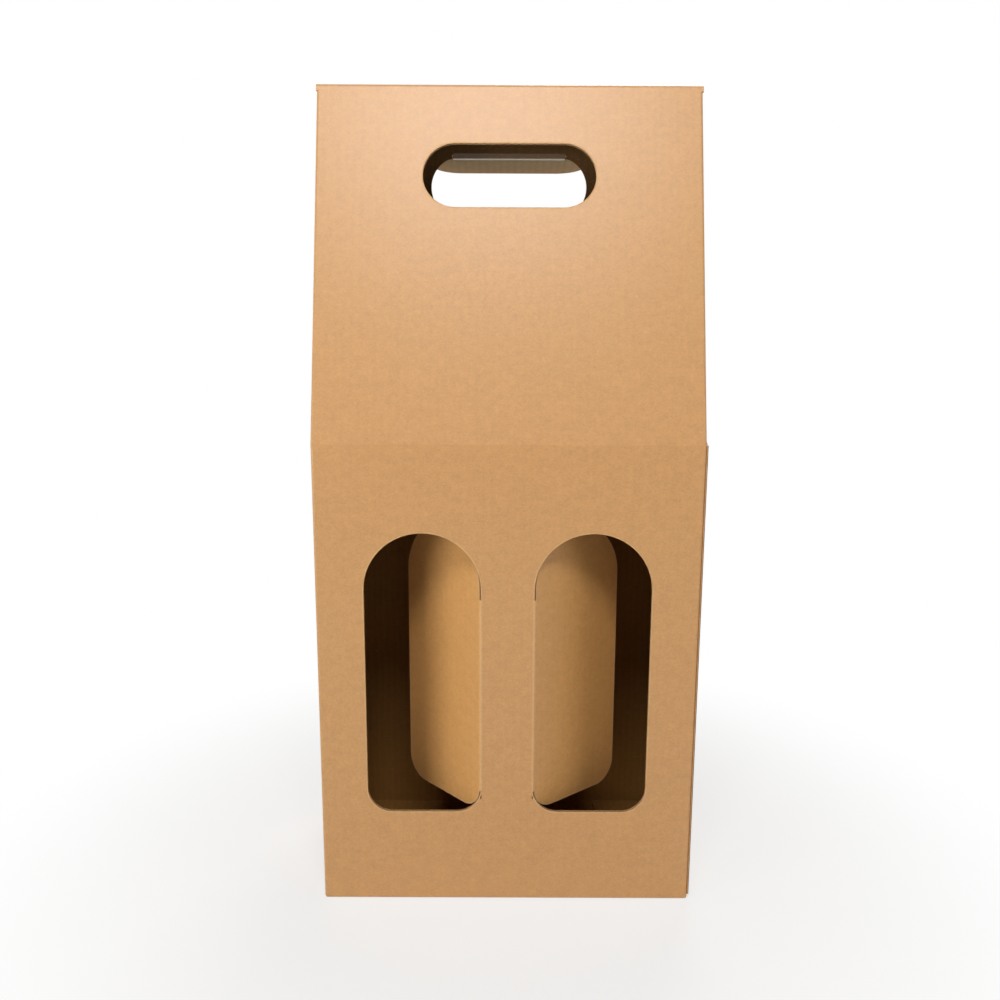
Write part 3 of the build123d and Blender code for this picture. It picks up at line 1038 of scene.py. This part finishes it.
class CARRIER_OT_stage(bpy.types.Operator):
    """Adds the floor, the surround, the lamps and the camera"""

    bl_idname = "carrier.stage"
    bl_label = "Stage"

    def execute(self, context):
        stage = settings("carrier_stage")
        bm = bmesh.new()
        bmesh.ops.create_grid(bm, x_segments=2, y_segments=2, size=FLOOR_REACH)
        mesh = bpy.data.meshes.new("floor")
        bm.to_mesh(mesh)
        bm.free()
        floor = bpy.data.objects.new("floor", mesh)
        context.scene.collection.objects.link(floor)
        mesh.materials.append(floor_paper(stage.paper))
        surround(stage.ambient)
        for name, (azimuth, elevation, distance, width, height, power) in SOFTBOXES.items():
            watts = getattr(stage, power)
            softbox(name, azimuth, elevation, distance, width, height, watts)
        add_camera(stage)
        context.scene.view_settings.view_transform = "Standard"
        return {"FINISHED"}


def seen_directly(tree):
    """1 where the camera sees a surface itself, in a gloss or through glass, and else 0."""
    rays = add_node(tree, "ShaderNodeLightPath")
    seen = rays["Is Camera Ray"]
    for kind in ("Is Glossy Ray", "Is Transmission Ray"):
        seen = add_node(tree, "ShaderNodeMath", {0: seen, 1: rays[kind]}, operation="MAXIMUM")[0]
    return seen


def floor_paper(hex_colour):
    """Pale matt paper. Seen directly it is nearly white, and keeps a third of the box's shadow
    near it and none far off."""
    material, tree = new_material("pale_paper_floor")
    place = add_node(tree, "ShaderNodeTexCoord")["Object"]
    noise = {"Vector": place, "Scale": 1 / FLOOR_CLOUD, "Detail": 3.0}
    cloud = add_node(tree, "ShaderNodeTexNoise", noise)[0]
    surface = {"Base Color": linear(hex_colour), "Roughness": 0.9, "Specular IOR Level": 0.2}
    matt = add_node(tree, "ShaderNodeBsdfPrincipled", surface)[0]
    glow = add_node(tree, "ShaderNodeEmission", {"Color": (1, 1, 1, 1), "Strength": 1.0})[0]
    distance = add_node(tree, "ShaderNodeVectorMath", {0: place}, operation="LENGTH")["Value"]
    growing = {
        "Value": distance,
        "From Min": NEAR,
        "From Max": FAR,
        "To Min": GLOW_NEAR,
        "To Max": GLOW_FAR,
    }
    share = add_node(tree, "ShaderNodeMapRange", growing, interpolation_type="SMOOTHSTEP")[0]
    terms = {0: cloud, 1: GLOW_CLOUD, 2: share}
    share = add_node(tree, "ShaderNodeMath", terms, operation="MULTIPLY_ADD")[0]
    terms = {0: seen_directly(tree), 1: share}
    share = add_node(tree, "ShaderNodeMath", terms, operation="MULTIPLY")[0]
    both = add_node(tree, "ShaderNodeMixShader", {0: share, 1: matt, 2: glow})[0]
    add_node(tree, "ShaderNodeOutputMaterial", {"Surface": both})
    return material


def surround(ambient):
    """White where it is seen directly, and an even soft light elsewhere."""
    world = bpy.data.worlds.new("white_surround")
    world.use_nodes = True
    tree = world.node_tree
    tree.nodes.clear()
    terms = {0: seen_directly(tree), 1: 1.0 - ambient, 2: ambient}
    strength = add_node(tree, "ShaderNodeMath", terms, operation="MULTIPLY_ADD")[0]
    even = {"Color": (1, 1, 1, 1), "Strength": strength}
    light = add_node(tree, "ShaderNodeBackground", even)[0]
    add_node(tree, "ShaderNodeOutputWorld", {"Surface": light})
    bpy.context.scene.world = world


def softbox(name, azimuth, elevation, distance, width, height, watts):
    """A soft lamp that looks at the middle of the box."""
    around = math.radians(azimuth)
    up = math.radians(elevation)
    direction = Vector(
        (math.sin(around) * math.cos(up), -math.cos(around) * math.cos(up), math.sin(up))
    )
    data = bpy.data.lights.new(name, "AREA")
    data.shape = "RECTANGLE"
    data.size = width
    data.size_y = height
    data.energy = watts
    lamp = bpy.data.objects.new(name, data)
    bpy.context.scene.collection.objects.link(lamp)
    lamp.location = Z * AIM_HEIGHT + direction * distance
    lamp.rotation_euler = direction.to_track_quat("Z", "Y").to_euler()


def add_camera(stage):
    """The photograph's view, from the stage's own settings."""
    data = bpy.data.cameras.new("camera")
    data.sensor_width = 36.0
    data.lens = stage.focal_length
    data.clip_start = 0.01
    camera = bpy.data.objects.new("camera", data)
    bpy.context.scene.collection.objects.link(camera)
    camera.matrix_world = (
        Matrix.Translation(stage.camera_place)
        @ Matrix.Rotation(math.radians(-stage.yaw), 4, "Z")
        @ Matrix.Rotation(math.radians(90 - stage.pitch), 4, "X")
        @ Matrix.Rotation(math.radians(stage.roll), 4, "Z")
    )
    bpy.context.scene.camera = camera


class CARRIER_PT_panel(bpy.types.Panel):
    """Lists the steps that dress the carrier"""

    bl_label = "Bottle carrier"
    bl_idname = "CARRIER_PT_panel"
    bl_space_type = "VIEW_3D"
    bl_region_type = "UI"
    bl_category = "Bottle carrier"

    def draw(self, context):
        for step in STEPS:
            self.layout.operator(step.bl_idname)


STEPS = (
    CARRIER_OT_board,
    CARRIER_OT_window_edges,
    CARRIER_OT_creases,
    CARRIER_OT_seam_edge,
    CARRIER_OT_hole_edges,
    CARRIER_OT_stage,
)
GROUPS = {
    "carrier_sizes": BoardSizes,
    "carrier_colours": KraftColours,
    "carrier_stage": StageSettings,
}


def register():
    for name, group in GROUPS.items():
        bpy.utils.register_class(group)
        setattr(bpy.types.Scene, name, PointerProperty(type=group))
    for cls in STEPS + (CARRIER_PT_panel,):
        bpy.utils.register_class(cls)


def unregister():
    for cls in reversed(STEPS + (CARRIER_PT_panel,)):
        bpy.utils.unregister_class(cls)
    for name, group in reversed(list(GROUPS.items())):
        delattr(bpy.types.Scene, name)
        bpy.utils.unregister_class(group)


def main():
    random.seed(7)
    register()
    bpy.ops.carrier.board()
    bpy.ops.carrier.window_edges()
    bpy.ops.carrier.creases()
    bpy.ops.carrier.seam_edge()
    bpy.ops.carrier.hole_edges()
    bpy.ops.carrier.stage()


if __name__ == "__main__":
    main()
